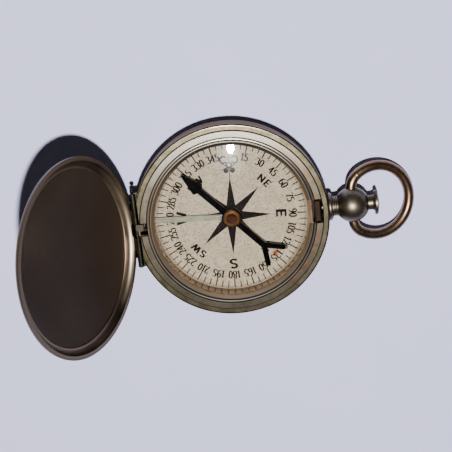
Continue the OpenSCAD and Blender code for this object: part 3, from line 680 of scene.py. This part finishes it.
def print_dial():
    scale = Print("dial_scale")
    scale.ring(SCALE_OUTER_R, FINE)
    scale.ring(SCALE_INNER_R, FINE - 0.01)
    inner, outer = SCALE_INNER_R + 0.03, SCALE_OUTER_R - 0.02
    for degree in range(0, 360):
        if degree % 5:
            scale.tick(inner, outer, degree, FINE)
        else:
            long = degree % 15 == 0
            scale.tick(LONG_TICK_R if long else SHORT_TICK_R, SCALE_INNER_R - 0.01, degree,
                       BOLD + 0.04 if long else BOLD)
            scale.tick(inner, outer - 0.01, degree, BOLD)
    scale.done()

    numerals = Print("dial_numerals")
    for degree in range(15, 360, 15):
        write(numerals, str(degree), DIGITS, degree, NUMERAL_R, 1.85, 0.18, 0.085, squeeze=1.12)
    numerals.done()

    letters = Print("dial_letters")
    for word, heading in (("E", 90), ("S", 180), ("W", 270)):
        write(letters, word, LETTERS, heading, LETTER_R, 2.35, 0.235, 0.185, squeeze=1.2)
    for word, heading in (("NE", 45), ("SE", 135), ("SW", 225), ("NW", 315)):
        write(letters, word, LETTERS, heading, LETTER_R - 0.25, 1.75, 0.235, 0.18, squeeze=1.12, gap=0.2)
    letters.done()

    star = Print("dial_star")
    for heading in range(0, 360, 45):
        star.plate([polar(0, 0), polar(STAR_VALLEY_R, heading + 22.5), polar(STAR_TIP_R, heading),
                    polar(STAR_VALLEY_R, heading - 22.5)])
    star.done()

    # north mark: a stem, two dots, three rings and the bars that join them
    ornament = Print("dial_ornament")
    ornament.tick(9.0, 11.3, 0, 0.16)
    for side in (-1, 1):
        spot(ornament, 10.8, side * 0.74, 0.62)
        curl(ornament, 13.3, side * 1.28, 0.78, side)
        link(ornament, [(11.5, 0.0), (12.2, side * 1.25), (12.7, side * 1.75)], 0.22)
    curl(ornament, 12.0, 0, 0.62, 0)
    ornament.tick(12.65, 14.6, 0, 0.16)
    ornament.done()


def on_north(out, across):
    """A point near the dial's north line: out from the centre, and across it to the right."""
    outward = Vector((math.sin(MOVEMENT_TURN), math.cos(MOVEMENT_TURN), 0))
    tangent = Vector((outward.y, -outward.x, 0))
    return (outward * out + tangent * across) * MM


def spot(ink, out, across, r):
    """A round dot of ink."""
    ink.plate([on_north(out + r * math.sin(math.tau * n / 20), across + r * math.cos(math.tau * n / 20))
               for n in range(20)])


def curl(ink, out, across, r, side):
    """A ring of ink, open towards the centre on its inner side when side isn't 0."""
    width = 0.36
    start, sweep = (0, 360) if side == 0 else (215, 290)
    angles = [math.radians(start + sweep * n / 26) for n in range(27 if side else 26)]

    def points(k):
        return [on_north(out + k * math.sin(a), across + (side or 1) * k * math.cos(a)) for a in angles]

    ink.strip(points(r - width / 2), points(r + width / 2), closed=side == 0)


def link(ink, points, width):
    """Straight bars of ink through points given as (out, across)."""
    for (r0, x0), (r1, x1) in zip(points, points[1:]):
        size = math.hypot(r1 - r0, x1 - x0)
        nx, ny = -(r1 - r0) / size * width / 2, (x1 - x0) / size * width / 2
        corners = [on_north(r0 + ny, x0 + nx), on_north(r1 + ny, x1 + nx), on_north(r1 - ny, x1 - nx),
                   on_north(r0 - ny, x0 - nx)]
        ink.plate(corners)


print_dial()


# ---------------------------------------------------------------- stage, light and camera
def make_stage():
    floor_mesh = bpy.data.meshes.new("floor")
    grid = bmesh.new()
    bmesh.ops.create_grid(grid, x_segments=2, y_segments=2, size=FLOOR_HALF)
    grid.to_mesh(floor_mesh)
    grid.free()
    floor = bpy.data.objects.new("floor", floor_mesh)
    bpy.context.scene.collection.objects.link(floor)
    g = Graph("pale_paper")
    soft = g.noise(0.05, 3, 0.5)
    fibre = g.noise(2.0, 4, 0.6)
    color = g.mix(soft, rgb(212, 214, 255), rgb(218, 220, 255))
    floor_mesh.materials.append(g.finish(color, 0.9, 0.0, g.bump(fibre, 0.15, 0.02)))
    floor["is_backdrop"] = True


def lamp(name, place, target, size, power, color):
    """A round area lamp at a place, turned to face a target."""
    data = bpy.data.lights.new(name, "AREA")
    data.shape = "DISK"
    data.size = size
    data.energy = power
    data.color = color
    obj = bpy.data.objects.new(name, data)
    obj.location = place
    obj.rotation_euler = (Vector(place) - Vector(target)).to_track_quat("Z", "Y").to_euler()
    bpy.context.scene.collection.objects.link(obj)


def make_light():
    world = bpy.data.worlds.new("room")
    world.use_nodes = True
    background = world.node_tree.nodes["Background"]
    background.inputs["Color"].default_value = (1.0, 0.95, 0.95, 1)
    background.inputs["Strength"].default_value = 0.035
    bpy.context.scene.world = world
    lamp("key", LAMP_AT, (0, 0, 0), LAMP_SIZE, LAMP_POWER, (1.0, 0.99, 0.98))


def make_camera():
    data = bpy.data.cameras.new("camera")
    data.lens = CAMERA_LENS
    data.sensor_width = 36
    data.clip_start = 0.01
    camera = bpy.data.objects.new("camera", data)
    right = Vector(CAMERA_RIGHT)
    up = Vector(CAMERA_UP)
    back = right.cross(up)
    turn = Matrix((right, up, back)).transposed().to_4x4()
    camera.matrix_world = Matrix.Translation(CAMERA_AT) @ turn
    bpy.context.scene.collection.objects.link(camera)
    bpy.context.scene.camera = camera


make_stage()
make_light()
make_camera()

boxes = {"cad": cad_box, "visual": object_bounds()}
{key: [[float(v) for v in corner] for corner in box] for key, box in boxes.items()}
